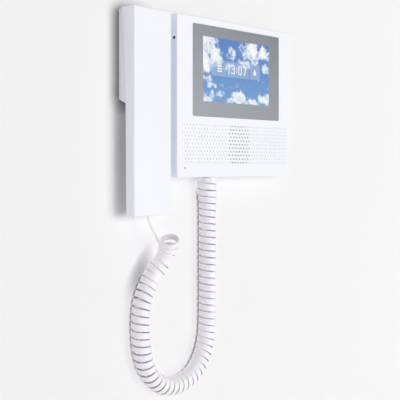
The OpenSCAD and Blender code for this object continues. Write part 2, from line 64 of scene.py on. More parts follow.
camera_data = bpy.data.cameras.new("camera")
camera_data.sensor_width = 36
camera_data.lens = CAMERA_LENS
camera_data.shift_y = CAMERA_RISE
camera = bpy.data.objects.new("camera", camera_data)
camera.location = CAMERA_PLACE
camera.rotation_euler = (math.radians(90), 0, -CAMERA_TURN)
scene.collection.objects.link(camera)
scene.camera = camera


# ---------- mesh helpers ----------

SMOOTH_ANGLE = 32  # degrees, above which an edge stays sharp
CRISP_ANGLE = 30  # the same for the front cover and its glass
WELD = 0.002 * MM
FLAT = math.radians(0.4)  # faces that turn less than this are one flat face
SHARP = math.radians(40)  # edges that turn more than this are rounded
LEAST_CORNER = 0.2 * MM
CORNER_STEPS = 6
ON_PLANE = 0.06 * MM  # nearer to a plane than this is on it


def add_object(name, mesh, materials=()):
    """A new object in the scene with these materials."""
    obj = bpy.data.objects.new(name, mesh)
    scene.collection.objects.link(obj)
    for m in materials:
        mesh.materials.append(m)
    return obj


def mesh_from(bm, name):
    """A mesh of bm with all its faces turned outwards; bm is used up."""
    bmesh.ops.recalc_face_normals(bm, faces=bm.faces)
    mesh = bpy.data.meshes.new(name)
    bm.to_mesh(mesh)
    bm.free()
    return mesh


def smooth(obj, angle):
    """Soft across rounded edges, flat on the faces between them."""
    mesh = obj.data
    mesh.polygons.foreach_set("use_smooth", [True] * len(mesh.polygons))
    mesh.set_sharp_from_angle(angle=math.radians(angle))
    modifier = obj.modifiers.new("normals", "WEIGHTED_NORMAL")
    modifier.keep_sharp = True
    modifier.weight = 60


def loft(bm, rings):
    """Joins rings of points, all of one length, into a skin with a cap at each end."""
    made = [[bm.verts.new(p) for p in ring] for ring in rings]
    n = len(made[0])
    for a, b in zip(made, made[1:]):
        for i in range(n):
            j = (i + 1) % n
            bm.faces.new((a[i], a[j], b[j], b[i]))
    bm.faces.new(made[0])
    bm.faces.new(list(reversed(made[-1])))


def corner_points(w, h, r):
    """A rectangle with rounded corners about the origin, as (across, up) pairs."""
    points = []
    for k, (sx, sy) in enumerate(((1, 1), (-1, 1), (-1, -1), (1, -1))):
        cx, cy = sx * (w / 2 - r), sy * (h / 2 - r)
        for i in range(CORNER_STEPS + 1):
            a = math.radians(90 * (k + i / CORNER_STEPS))
            points.append((cx + r * math.cos(a), cy + r * math.sin(a)))
    return points


def slab_rings(w, h, r, at, y, front=0.0, back=0.0, steps=4):
    """Rings of a rounded slab that faces the room, from y[0] to y[1], with rounded rims."""
    levels = []
    for i in range(steps + 1 if front else 1):
        a = math.pi / 2 * (1 - i / steps)
        levels.append((front * (1 - math.cos(a)), y[0] + front * (1 - math.sin(a))))
    for i in range(steps + 1 if back else 1):
        a = math.pi / 2 * i / steps
        levels.append((back * (1 - math.cos(a)), y[1] - back * (1 - math.sin(a))))
    return [
        [(at[0] + px, level, at[1] + pz) for px, pz in
         corner_points(w - 2 * inset, h - 2 * inset, max(r - inset, LEAST_CORNER))]
        for inset, level in levels
    ]


def round_rings(at, profile, sides):
    """Rings of a solid turned about an axis along Y; profile is (y, radius) pairs."""
    return [
        [(at[0] + r * math.cos(2 * math.pi * k / sides), y,
          at[1] + r * math.sin(2 * math.pi * k / sides)) for k in range(sides)]
        for y, r in profile
    ]


def block_rings(x, y, z):
    """Rings of a block between two places along each axis."""
    return [
        [(x[0], y[0], zz), (x[1], y[0], zz), (x[1], y[1], zz), (x[0], y[1], zz)] for zz in z
    ]


def solid(name, *ring_sets):
    """One object of a closed skin for each set of rings."""
    bm = bmesh.new()
    for rings in ring_sets:
        loft(bm, rings)
    return add_object(name, mesh_from(bm, name))


def combine(obj, other, operation="DIFFERENCE"):
    """obj with other cut away or joined on; other is used up."""
    modifier = obj.modifiers.new("cut", "BOOLEAN")
    modifier.operation = operation
    modifier.solver = "MANIFOLD"
    modifier.object = other
    bpy.context.view_layer.update()
    result = obj.evaluated_get(bpy.context.evaluated_depsgraph_get())
    mesh = bpy.data.meshes.new_from_object(result)
    obj.modifiers.remove(modifier)
    old = obj.data
    obj.data = mesh
    mesh.name = obj.name
    bpy.data.meshes.remove(old)
    bpy.data.objects.remove(other)


def from_cad(node, name, width, segments, choose=None):
    """A copy of a CAD node with its flat faces whole again and its sharp edges rounded.

    choose picks the edges to round by their middle; without it every sharp edge is rounded.
    """
    bm = bmesh.new()
    bm.from_mesh(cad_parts[node].data)
    bmesh.ops.remove_doubles(bm, verts=bm.verts, dist=WELD)
    bmesh.ops.dissolve_limit(bm, angle_limit=FLAT, verts=bm.verts, edges=bm.edges)
    sharp = [
        e for e in bm.edges
        if len(e.link_faces) == 2 and e.calc_face_angle(0) > SHARP
        and (choose is None or choose((e.verts[0].co + e.verts[1].co) / 2))
    ]
    bmesh.ops.bevel(
        bm, geom=sharp, offset=width, offset_type="OFFSET", segments=segments,
        profile=0.5, affect="EDGES", clamp_overlap=True)
    obj = add_object(name, mesh_from(bm, name))
    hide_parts(node)
    return obj


# ---------- materials ----------

class Shader:
    """A material and short calls that add and join its nodes."""

    def __init__(self, name, **values):
        self.mat = bpy.data.materials.new(name)
        self.mat.use_nodes = True
        self.tree = self.mat.node_tree
        self.bsdf = self.tree.nodes["Principled BSDF"]
        for key, value in values.items():
            self.bsdf.inputs[key.replace("_", " ")].default_value = value
        self.place = self.tree.nodes.new("ShaderNodeTexCoord").outputs["Object"]

    def node(self, kind, inputs=None, **settings):
        node = self.tree.nodes.new("ShaderNode" + kind)
        for key, value in settings.items():
            setattr(node, key, value)
        for key, value in (inputs or {}).items():
            if isinstance(value, bpy.types.NodeSocket):
                self.tree.links.new(value, node.inputs[key])
            else:
                node.inputs[key].default_value = value
        return node

    def noise(self, scale, detail, stretch=(1, 1, 1), place=None, roughness=0.5):
        at = place or self.place
        if stretch != (1, 1, 1):
            at = self.node("Mapping", {"Vector": at, "Scale": stretch}).outputs[0]
        return self.node("TexNoise", {
            "Vector": at, "Scale": scale, "Detail": detail, "Roughness": roughness,
        }).outputs["Fac"]

    def spread(self, fac, low, high, a=0.3, b=0.7):
        """What is from a to b, stretched to lie from low to high."""
        return self.node("MapRange", {
            "Value": fac, "From Min": a, "From Max": b, "To Min": low, "To Max": high,
        }).outputs[0]

    def math(self, operation, a, b):
        return self.node("Math", {0: a, 1: b}, operation=operation).outputs[0]

    def vectors(self, operation, a, b):
        return self.node("VectorMath", {0: a, 1: b}, operation=operation).outputs[0]

    def mix(self, fac, a, b, blend="MIX"):
        return self.node("Mix", {"Factor": fac, 6: a, 7: b}, data_type="RGBA",
                         blend_type=blend).outputs[2]

    def colours(self, fac, a, b):
        return self.mix(fac, (*a, 1), (*b, 1))

    def link(self, socket, name):
        self.tree.links.new(socket, self.bsdf.inputs[name])

    def bump(self, heights):
        """Adds each (height, how far it stands out in metres) to the one before."""
        normal = None
        for height, distance in heights:
            inputs = {"Height": height, "Strength": 1.0, "Distance": distance}
            if normal:
                inputs["Normal"] = normal
            normal = self.node("Bump", inputs).outputs[0]
        self.link(normal, "Normal")


def moulded(name, colour, rough, grain=0.00004, tone=0.012):
    """Moulded plastic: spark-eroded grain, slow changes of tone and of gloss."""
    s = Shader(name, Specular_IOR_Level=0.4)
    slow = s.noise(14, 3)
    low = tuple(c * (1 - tone) for c in colour)
    high = tuple(min(1, c * (1 + tone)) for c in colour)
    s.link(s.colours(s.spread(slow, 0, 1), low, high), "Base Color")
    s.link(s.spread(s.noise(160, 3), rough - 0.05, rough + 0.06), "Roughness")
    s.bump([(s.noise(2600, 2), grain), (s.noise(700, 2), grain * 0.8)])
    return s.mat


def metal(name, colour, rough, stretch=(1, 1, 1), scale=300):
    """Plated or rolled metal with fine streaks and a cloudy finish."""
    s = Shader(name, Metallic=1.0)
    streaks = s.noise(scale, 4, stretch)
    low = tuple(c * 0.9 for c in colour)
    s.link(s.colours(s.spread(s.noise(60, 3), 0, 1), low, colour), "Base Color")
    s.link(s.spread(streaks, rough - 0.1, rough + 0.12), "Roughness")
    s.bump([(streaks, 0.00001)])
    return s.mat


def board_green():
    """Solder mask over a pattern of copper tracks."""
    s = Shader("circuit_board", Specular_IOR_Level=0.5)
    upright = s.node("Mapping", {"Vector": s.place, "Rotation": (math.pi / 2, 0, 0)})
    tracks = s.node("TexBrick", {
        "Vector": upright.outputs[0],
        "Scale": 180.0, "Mortar Size": 0.035, "Mortar Smooth": 0.2,
    }, offset=0.37, squash=1.0)
    mask = s.colours(s.spread(s.noise(90, 2), 0, 1), (0.012, 0.13, 0.05), (0.02, 0.2, 0.08))
    s.link(s.mix(tracks.outputs["Fac"], mask, (0.05, 0.33, 0.13, 1)), "Base Color")
    s.link(s.spread(s.noise(400, 2), 0.28, 0.42), "Roughness")
    s.bump([(tracks.outputs["Fac"], 0.00003)])
    return s.mat


def rubber(name, colour):
    """Dull moulded rubber."""
    s = Shader(name, Specular_IOR_Level=0.3)
    s.link(s.colours(s.spread(s.noise(120, 3), 0, 1), tuple(c * 0.7 for c in colour), colour),
           "Base Color")
    s.link(s.spread(s.noise(900, 2), 0.62, 0.8), "Roughness")
    s.bump([(s.noise(3000, 2), 0.00002)])
    return s.mat


def woven(name, colour):
    """An open weave of round threads, 0.5 mm apart, across and up."""
    s = Shader(name, Specular_IOR_Level=0.2)
    across, up = (
        s.node("TexWave", {"Vector": s.place, "Scale": 628.0, "Distortion": 0.4},
               bands_direction=direction).outputs["Fac"]
        for direction in ("X", "Z"))
    weave = s.math("MULTIPLY", across, up)
    s.link(s.colours(weave, tuple(c * 0.3 for c in colour), colour), "Base Color")
    s.link(s.spread(s.noise(500, 2), 0.75, 0.95), "Roughness")
    s.bump([(weave, 0.0001)])
    return s.mat


def sheath(name, colour, rough):
    """Smooth PVC sheath with the slight orange skin of extrusion."""
    s = Shader(name, Specular_IOR_Level=0.45)
    s.link(s.colours(s.spread(s.noise(22, 3), 0, 1), tuple(c * 0.97 for c in colour), colour),
           "Base Color")
    s.link(s.spread(s.noise(220, 3), rough - 0.06, rough + 0.08), "Roughness")
    s.bump([(s.noise(900, 2), 0.00003)])
    return s.mat


def capsule(node):
    """An aluminium can with black felt over its front."""
    lo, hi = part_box(node)
    s = Shader(node + "_can")
    felt = s.math("LESS_THAN", s.node("SeparateXYZ", {0: s.place}).outputs[1], lo.y + 0.00015)
    can = s.colours(s.spread(s.noise(300, 3), 0, 1), (0.5, 0.5, 0.5), (0.62, 0.62, 0.63))
    s.link(s.mix(felt, can, (0.012, 0.012, 0.012, 1)), "Base Color")
    s.link(s.math("SUBTRACT", 1.0, felt), "Metallic")
    s.link(s.math("ADD", s.math("MULTIPLY", felt, 0.5), s.spread(s.noise(800, 2), 0.3, 0.42)),
           "Roughness")
    s.bump([(s.noise(2500, 3), 0.00004)])
    return s.mat


def clear_plastic():
    """The pale milky look of a clear plug over its contacts, without seeing through it."""
    s = Shader("plug_clear", Specular_IOR_Level=0.6)
    s.link(s.colours(s.spread(s.noise(300, 2), 0, 1), (0.62, 0.66, 0.68), (0.8, 0.83, 0.85)),
           "Base Color")
    s.link(s.spread(s.noise(180, 2), 0.12, 0.24), "Roughness")
    s.bump([(s.noise(800, 2), 0.00002)])
    return s.mat


housing_white = moulded("housing_white", (0.915, 0.925, 0.965), 0.38)
back_white = moulded("back_white", (0.84, 0.85, 0.88), 0.55, 0.00007)
dark_plastic = moulded("dark_plastic", (0.03, 0.03, 0.033), 0.5, 0.00006, 0.2)
terminal_green = moulded("terminal_green", (0.03, 0.3, 0.11), 0.4, 0.00004, 0.08)
screw_steel = metal("screw_steel", (0.66, 0.66, 0.68), 0.3)
bracket_steel = metal("bracket_steel", (0.72, 0.73, 0.75), 0.38, (1, 1, 9), 120)
magnet_nickel = metal("magnet_nickel", (0.78, 0.77, 0.75), 0.16, (1, 1, 1), 500)
black_rubber = rubber("black_rubber", (0.035, 0.035, 0.035))
black_cloth = woven("black_cloth", (0.12, 0.12, 0.125))
ribbon_amber = sheath("ribbon_amber", (0.5, 0.22, 0.03), 0.25)
lead_red = sheath("lead_red", (0.42, 0.03, 0.02), 0.4)
cord_white = sheath("cord_white", (0.93, 0.905, 0.945), 0.34)
# Painted shade for the cord: a lighter one for the inner face of the coil, a darker one for the
# flanks between the turns
cord_inner_shade = sheath("cord_inner_shade", (0.84, 0.79, 0.82), 0.42)
cord_flank_shade = sheath("cord_flank_shade", (0.43, 0.39, 0.42), 0.5)
plug_clear = clear_plastic()
circuit_board = board_green()


def border_print_and_reflection():
    """Grey ink on the back of the cover glass, seen through a polished surface, with a painted
    reflection that darkens it towards the top and the right.
    """
    s = Shader("cover_glass", Specular_IOR_Level=0.5, Coat_Weight=0.4, Coat_Roughness=0.12)
    ink = s.colours(s.spread(s.noise(40, 3), 0, 1), (0.362, 0.388, 0.424), (0.368, 0.394, 0.43))
    # Painted reflection: the border darkens towards the top and the right, and stays lighter at
    # the bottom and left, where the glass would mirror the room
    axes = s.node("SeparateXYZ", {0: s.place})
    dark = s.math("ADD", s.spread(axes.outputs[2], 0, 0.42, -0.01, 0.068),
                  s.spread(axes.outputs[0], 0, 0.3, -0.06, 0.07))
    s.link(s.mix(dark, ink, (0.20, 0.205, 0.23, 1)), "Base Color")
    s.link(s.spread(s.noise(18, 2), 0.25, 0.265), "Roughness")
    return s.mat


# Clouds in the picture: centre across and up, half sizes, and how thick
CLOUDS = [
    (0.06, 0.90, 0.17, 0.20, 1.0), (0.04, 0.62, 0.13, 0.22, 1.0), (0.18, 0.74, 0.12, 0.20, 0.95),
    (0.42, 0.78, 0.07, 0.13, 0.6), (0.60, 0.90, 0.10, 0.10, 0.6), (0.72, 0.84, 0.15, 0.24, 0.95),
    (0.92, 0.86, 0.13, 0.14, 1.0), (0.95, 0.62, 0.10, 0.10, 0.6), (0.62, 0.64, 0.12, 0.08, 0.8),
    (0.38, 0.56, 0.16, 0.06, 0.5), (0.07, 0.36, 0.10, 0.08, 0.75), (0.14, 0.27, 0.12, 0.07, 0.8),
    (0.22, 0.14, 0.10, 0.06, 0.6), (0.53, 0.07, 0.15, 0.15, 1.0), (0.44, 0.03, 0.12, 0.08, 0.9),
    (0.05, 0.04, 0.13, 0.10, 1.0), (0.93, 0.10, 0.14, 0.11, 1.0), (0.76, 0.03, 0.14, 0.07, 0.9),
]
PICTURE_X = (-55.3 * MM, 52.7 * MM)
PICTURE_Z = (-3.6 * MM, 61.2 * MM)
ACROSS = 1.6  # the picture's width in units of its height, for the clouds' pattern


def picture(name, tint=(1, 1, 1), share=0.0):
    """A lit display that shows a blue sky with clouds, under a share of a plain tint."""
    s = Shader(name, Specular_IOR_Level=0.4, Roughness=0.3, Coat_Weight=0.3, Coat_Roughness=0.12,
               Base_Color=(0.01, 0.012, 0.015, 1), Emission_Strength=0.93)
    axes = s.node("SeparateXYZ", {0: s.place})
    u, v = (
        s.math("DIVIDE", s.math("SUBTRACT", axes.outputs[axis], low), high - low)
        for axis, (low, high) in ((0, PICTURE_X), (2, PICTURE_Z)))
    at = s.node("CombineXYZ", {0: s.math("MULTIPLY", u, ACROSS), 1: v}).outputs[0]
    # Noise bends the clouds' outlines and eats into them
    wobble = s.node("TexNoise", {"Vector": at, "Scale": 6.0, "Detail": 5.0}).outputs["Color"]
    shifted = s.vectors("SUBTRACT", wobble, (0.5, 0.5, 0.5))
    bent = s.vectors("ADD", at, s.vectors("MULTIPLY", shifted, (0.26, 0.26, 0.26)))
    clouds = None
    for cu, cv, ru, rv, strength in CLOUDS:
        off = s.vectors("SUBTRACT", bent, (cu * ACROSS, cv, 0))
        scaled = s.vectors("MULTIPLY", off, (1 / (ru * ACROSS), 1 / rv, 0))
        away = s.node("VectorMath", {0: scaled}, operation="LENGTH").outputs["Value"]
        blob = s.spread(away, strength, 0, 0.35, 1.15)
        clouds = blob if clouds is None else s.math("MAXIMUM", clouds, blob)
    fine = s.noise(11.0, 7.0, place=bent, roughness=0.66)
    cover = s.spread(s.math("ADD", clouds, s.spread(fine, -0.75, 0.45)), 0, 1, 0.12, 0.62)
    sky = s.colours(v, (0.165, 0.355, 0.66), (0.085, 0.215, 0.56))
    soft = s.noise(5.0, 4.0, place=bent)
    lit = s.colours(s.spread(soft, 0, 1, 0.38, 0.56), (0.62, 0.74, 0.88), (1.0, 1.0, 1.0))
    shown = s.mix(cover, sky, lit)
    s.link(s.mix(share, shown, (*tint, 1)) if share else shown, "Emission Color")
    return s.mat


# ---------- cord ----------

# The coil's centre and the plain tail's, in mm, as in the CAD
COIL_ROUTE = [
    (-107, -24, -138), (-105, -21.5, -146), (-106, -17.6, -155), (-110, -14.2, -163.5),
    (-115, -11, -172), (-119.5, -9.8, -180), (-124, -9.6, -188), (-127.5, -9.6, -196),
    (-129.5, -9.6, -205), (-130.5, -9.6, -217), (-130, -9.6, -230), (-128.5, -9.6, -243),
    (-125, -9.6, -255), (-119, -9.6, -266), (-110, -9.6, -275), (-99, -9.6, -281),
    (-86, -9.6, -283.5), (-74, -9.6, -282.5), (-62.5, -9.6, -279), (-52.5, -9.6, -272.5),
    (-45, -9.6, -263.5), (-39.5, -9.6, -253), (-36, -9.6, -241), (-34.5, -9.6, -227),
    (-34, -9.6, -205), (-34, -9.6, -180), (-34, -9.6, -155), (-34, -9.6, -130),
    (-34, -9.6, -108), (-34.4, -9.8, -98), (-36, -10.4, -90), (-37.1, -10.9, -86),
    (-37.1, -10.9, -82.9), (-37.1, -10.9, -80),
]
TAIL_ROUTE = [
    (-127.5, -16.7, -113.4), (-127.4, -16.7, -116), (-125.9, -16.9, -120.5),
    (-123.2, -17.8, -126.5), (-120.4, -19.2, -132), (-116, -21.4, -135.4),
]
CORD_WIDTH = 6.1 * MM
CORD_THICK = 2.4 * MM
FLANK_ROUND = 0.95 * MM
GROOVE = 0.25 * MM  # half the width of a groove along the cord's outer face
GROOVE_DEPTH = 0.2 * MM
COIL_RADIUS = 7.9 * MM
COIL_TURNS = 59.25
TURN_STEPS = 28
ROUTE_STEPS = 12  # steps to each stretch of the coil's route
FIRST_RING = 1.16  # how much wider the first turn is
FIRST_LEAN = Vector((-0.49, -0.435, 0.755))  # the way the first turn's mouth faces
LEAN_TURNS = 3.2  # the turns over which the coil takes on its own width and direction
LAST_RING = 1.18  # how much wider the last turn is
LAST_TURNS = 4.5  # the turns over which it widens and becomes level
CLOSING_TURNS = 0.65  # the turns that wind in under the socket
CLOSING_SHARE = 0.85  # how much of the radius they lose
PALE_FIRST_TURNS = 1.75  # turns at each end whose flanks take the lighter painted shade instead of the dark one
PALE_LAST_TURNS = 0.9
TAIL_STEPS, TAIL_PIECES = 8, 20
BRIDGE_PIECES, END_PIECES = 10, 7


def spline(points, n):
    """Catmull-Rom curve through a list of points, n steps to each stretch."""
    last = len(points) - 1
    out = []
    for i in range(last):
        a, b = points[max(i - 1, 0)], points[i]
        c, d = points[i + 1], points[min(i + 2, last)]
        for k in range(n):
            t = k / n
            out.append(0.5 * (2 * b + (c - a) * t + (2 * a - 5 * b + 4 * c - d) * t * t
                              + (3 * b - a - 3 * c + d) * t * t * t))
    out.append(points[last])
    return out


def evenly(points, count):
    """count + 1 points at even distances along a line of points."""
    along = [0.0]
    for a, b in zip(points, points[1:]):
        along.append(along[-1] + (b - a).length)
    out, k = [], 0
    for i in range(count + 1):
        s = along[-1] * i / count
        while k < len(points) - 2 and along[k + 1] < s:
            k += 1
        span = along[k + 1] - along[k]
        out.append(points[k].lerp(points[k + 1], (s - along[k]) / span if span else 0))
    return out


def headings(points):
    """The way a line of points runs at each of them."""
    last = len(points) - 1
    return [
        (points[min(i + 1, last)] - points[max(i - 1, 0)]).normalized() for i in range(last + 1)
    ]


def eased(f):
    """From 0 to 1 with a level start and end."""
    f = min(max(f, 0.0), 1.0)
    return f * f * (3 - 2 * f)


def hermite(p, u, q, v, count):
    """A curve that leaves p along u and reaches q along v, without its end points."""
    out = []
    for i in range(1, count):
        t = i / count
        out.append(p * (2 * t ** 3 - 3 * t ** 2 + 1) + u * (t ** 3 - 2 * t ** 2 + t)
                   + q * (3 * t ** 2 - 2 * t ** 3) + v * (t ** 3 - t ** 2))
    return out


def coil_path():
    """The cord's centre line round the coil, and the way its width lies at each point."""
    count = round(COIL_TURNS * TURN_STEPS)
    closing = round(CLOSING_TURNS * TURN_STEPS)
    # The last turn lies flat under the socket, so its centre stops short of it
    centre = evenly(spline([Vector(p) * MM for p in COIL_ROUTE[:-1]], ROUTE_STEPS), count)
    along = headings(centre)
    centre += [centre[-1]] * closing
    along += [along[-1]] * closing
    side = Vector((-1, 0, 0))
    path, flat = [], []
    for i, (c, t) in enumerate(zip(centre, along)):
        open_end = 1 - eased(i / (LEAN_TURNS * TURN_STEPS))
        t = t.lerp(-FIRST_LEAN, open_end)
        last_end = eased(1 - (count - i) / (LAST_TURNS * TURN_STEPS))
        t = t.lerp(Vector((0, 0, 1)), last_end).normalized()
        side = (side - side.dot(t) * t).normalized()
        other = t.cross(side)
        a = -2 * math.pi * i / TURN_STEPS
        r = COIL_RADIUS * (1 + (FIRST_RING - 1) * open_end + (LAST_RING - 1) * last_end)
        r *= 1 - CLOSING_SHARE * max(0, i - count) / closing
        path.append(c + r * (math.cos(a) * side + math.sin(a) * other))
        flat.append(t)
    return path, flat


def cord_section():
    """The flat cord's outline, with two grooves along the face that is outside in the coil."""
    points = []
    across, deep = CORD_WIDTH / 2 - FLANK_ROUND, CORD_THICK / 2 - FLANK_ROUND
    for k, (sx, sy) in enumerate(((1, 1), (-1, 1), (-1, -1), (1, -1))):
        if k == 3:
            for middle in (-CORD_WIDTH / 6, CORD_WIDTH / 6):
                for step in (-1, 0, 1):
                    points.append((middle + step * GROOVE,
                                   -CORD_THICK / 2 + (0 if step else GROOVE_DEPTH)))
        for i in range(4):
            a = math.radians(90 * k + 30 * i)
            points.append((sx * across + FLANK_ROUND * math.cos(a),
                           sy * deep + FLANK_ROUND * math.sin(a)))
    return points


def cord_ends(path):
    """The plain tail with its bridge to the first turn, and the way from the last turn up."""
    # The tail from the handset leaves its route's last stretch for the first turn
    tail = evenly(spline([Vector(p) * MM for p in TAIL_ROUTE[:-1]], TAIL_STEPS), TAIL_PIECES)
    into = (path[1] - path[0]).normalized()
    down = (tail[-1] - tail[-2]).normalized()
    reach = (path[0] - tail[-1]).length
    bridge = hermite(tail[-1], down * reach, path[0], into * reach, BRIDGE_PIECES)
    # The far end leaves the last turn for the socket in the monitor's underside
    lo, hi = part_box("cord_plug_monitor")
    socket = Vector(((lo.x + hi.x) / 2, (lo.y + hi.y) / 2, lo.z + 1 * MM))
    out_of = (path[-1] - path[-2]).normalized()
    end = hermite(path[-1], out_of * 3 * MM, socket, Vector((0, 0, 5 * MM)), END_PIECES)
    return tail + bridge, end + [socket]


def colour_cord(cord, section, rings_before):
    """Paints shade on the cord where its turns crowd together: a lighter painted shade on the
    inner face, a dark one on the flanks.
    """
    for mat in (cord_white, cord_inner_shade, cord_flank_shade):
        cord.data.materials.append(mat)
    kind = []
    for (_, low), (_, high) in zip(section, section[1:] + section[:1]):
        middle = (low + high) / CORD_THICK
        kind.append(0 if middle < -0.6 else 2 if middle < 0.6 else 1)
    pale_to = rings_before + round(PALE_FIRST_TURNS * TURN_STEPS)
    pale_from = rings_before + round((COIL_TURNS - PALE_LAST_TURNS) * TURN_STEPS)
    # The loft's sides come first, ring by ring, and its two caps last
    # Painted shade: along the coil the flanks take the dark shade and the inner face the lighter
    # one; on the end turns the flanks take the lighter one; on the tail only the flanks are shaded
    for face in cord.data.polygons[:-2]:
        ring, part = divmod(face.index, len(section))
        if ring < rings_before:
            face.material_index = 1 if kind[part] == 2 else 0
        elif ring < pale_to or ring > pale_from:
            face.material_index = min(kind[part], 1)
        else:
            face.material_index = kind[part]


def make_cord():
    """The whole cord as one swept skin, and its centre line."""
    path, flat = coil_path()
    lead_in, end = cord_ends(path)
    # The tail turns its edge to the camera, and the far end turns out of the coil
    view = Vector((math.sin(CAMERA_TURN), math.cos(CAMERA_TURN), 0))
    turned = Vector((0.6, -0.6, 0.3))
    widths = [view.lerp(flat[0], eased(i / (len(lead_in) - 1)) ** 5)
              for i in range(len(lead_in))]
    widths += flat
    widths += [flat[-1].lerp(turned, eased((i + 1) / len(end))) for i in range(len(end))]
    path = lead_in + path + end
    section = cord_section()
    rings = []
    for p, t, w in zip(path, headings(path), widths):
        w = (w - w.dot(t) * t).normalized()
        n = t.cross(w)
        rings.append([p + u * w + v * n for u, v in section])
    bm = bmesh.new()
    loft(bm, rings)
    cord = add_object("curly_cord", mesh_from(bm, "curly_cord"))
    cord.data.polygons.foreach_set("use_smooth", [True] * len(cord.data.polygons))
    colour_cord(cord, section, len(lead_in))
    return cord, path


cord, cord_path = make_cord()
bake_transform(cord)
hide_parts("cord_tail", "cord_coil")


# ---------- monitor housing ----------

WALL = 2 * MM
MONITOR = (186 * MM, 159 * MM)
CORNER = 2.5 * MM
FRONT_Y = -22 * MM
SEAM_Y = -8 * MM
INNER_Y = FRONT_Y + WALL
LEDGE_Y = FRONT_Y + 1.2 * MM
LEFT_X = -MONITOR[0] / 2
BOTTOM_Z = -MONITOR[1] / 2

GLASS_LO, GLASS_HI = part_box("screen_glass")
GLASS_AT = ((GLASS_LO.x + GLASS_HI.x) / 2, (GLASS_LO.z + GLASS_HI.z) / 2)
GLASS_SIZE = (GLASS_HI.x - GLASS_LO.x, GLASS_HI.z - GLASS_LO.z)
DISPLAY_AT = (-1.3 * MM, 28.65 * MM)
DISPLAY_CUT = (122 * MM, 77 * MM)

HOLE_R = 1.05 * MM
HOLE_LIP = 0.12 * MM
HOLE_OVER = 0.3 * MM  # how far a hole's cutter runs past each face it opens
HOLE_SIDES = 16
OPEN_TAPER, BLIND_TAPER = 0.78, 0.75  # how wide a hole still is at its inner end
HOLE_PITCH = 4.65 * MM
ROW_PITCH = 3.73 * MM
GRILLE_TOP = -27.6 * MM
GRILLE_ROWS, GRILLE_COLUMNS = 11, 37
SPEAKER = (2.7 * MM, -46 * MM)
OPEN_AREA = (17.5 * MM, 23 * MM)  # half sizes of the area of through holes
BLIND_DEPTH = 0.8 * MM

CASE_SCREWS = [(-84, 70), (84, 70), (-60, -71.5), (60, -71.5)]
LOW_POSTS = [(-72, -58), (72, -58)]
MIC = (-81.9 * MM, -70.4 * MM)
SETUP = (-17.8 * MM, 56 * MM)
CASE_POST_R, CASE_BORE_R = 3.2 * MM, 1.5 * MM
LOW_POST_R, LOW_BORE_R = 2.8 * MM, 1.1 * MM
MIC_POST_R, MIC_SEAT_R, MIC_HOLE_R = 5.4 * MM, 4.3 * MM, 0.8 * MM
SETUP_HOLE_R, SETUP_RIM_R = 1.3 * MM, 1.5 * MM
OVER = 1 * MM  # how far a cut runs past the face it opens


def post(at, y, r, sides=32):
    """Rings of a round bar along Y between two depths."""
    return round_rings(at, [(y[0], r), (y[1], r)], sides)


def mm_pair(p):
    """A place given in mm, in metres."""
    return (p[0] * MM, p[1] * MM)


def grille_cutters():
    """Staggered rows of holes: through in front of the speaker, and blind elsewhere."""
    rings = []
    for row in range(GRILLE_ROWS):
        count = GRILLE_COLUMNS - row % 2
        z = GRILLE_TOP - row * ROW_PITCH
        for i in range(count):
            x = (i - (count - 1) / 2) * HOLE_PITCH
            open_hole = (abs((x - SPEAKER[0]) / OPEN_AREA[0]) ** 3
                         + abs((z - SPEAKER[1]) / OPEN_AREA[1]) ** 3) < 1
            lip = [(FRONT_Y - HOLE_OVER, HOLE_R + HOLE_LIP), (FRONT_Y, HOLE_R + HOLE_LIP),
                   (FRONT_Y + HOLE_LIP, HOLE_R)]
            if open_hole:
                inner = [(INNER_Y + HOLE_OVER, HOLE_R * OPEN_TAPER)]
            else:
                inner = [(FRONT_Y + BLIND_DEPTH * 0.8, HOLE_R),
                         (FRONT_Y + BLIND_DEPTH, HOLE_R * BLIND_TAPER)]
            rings.append(round_rings((x, z), lip + inner, HOLE_SIDES))
    return rings


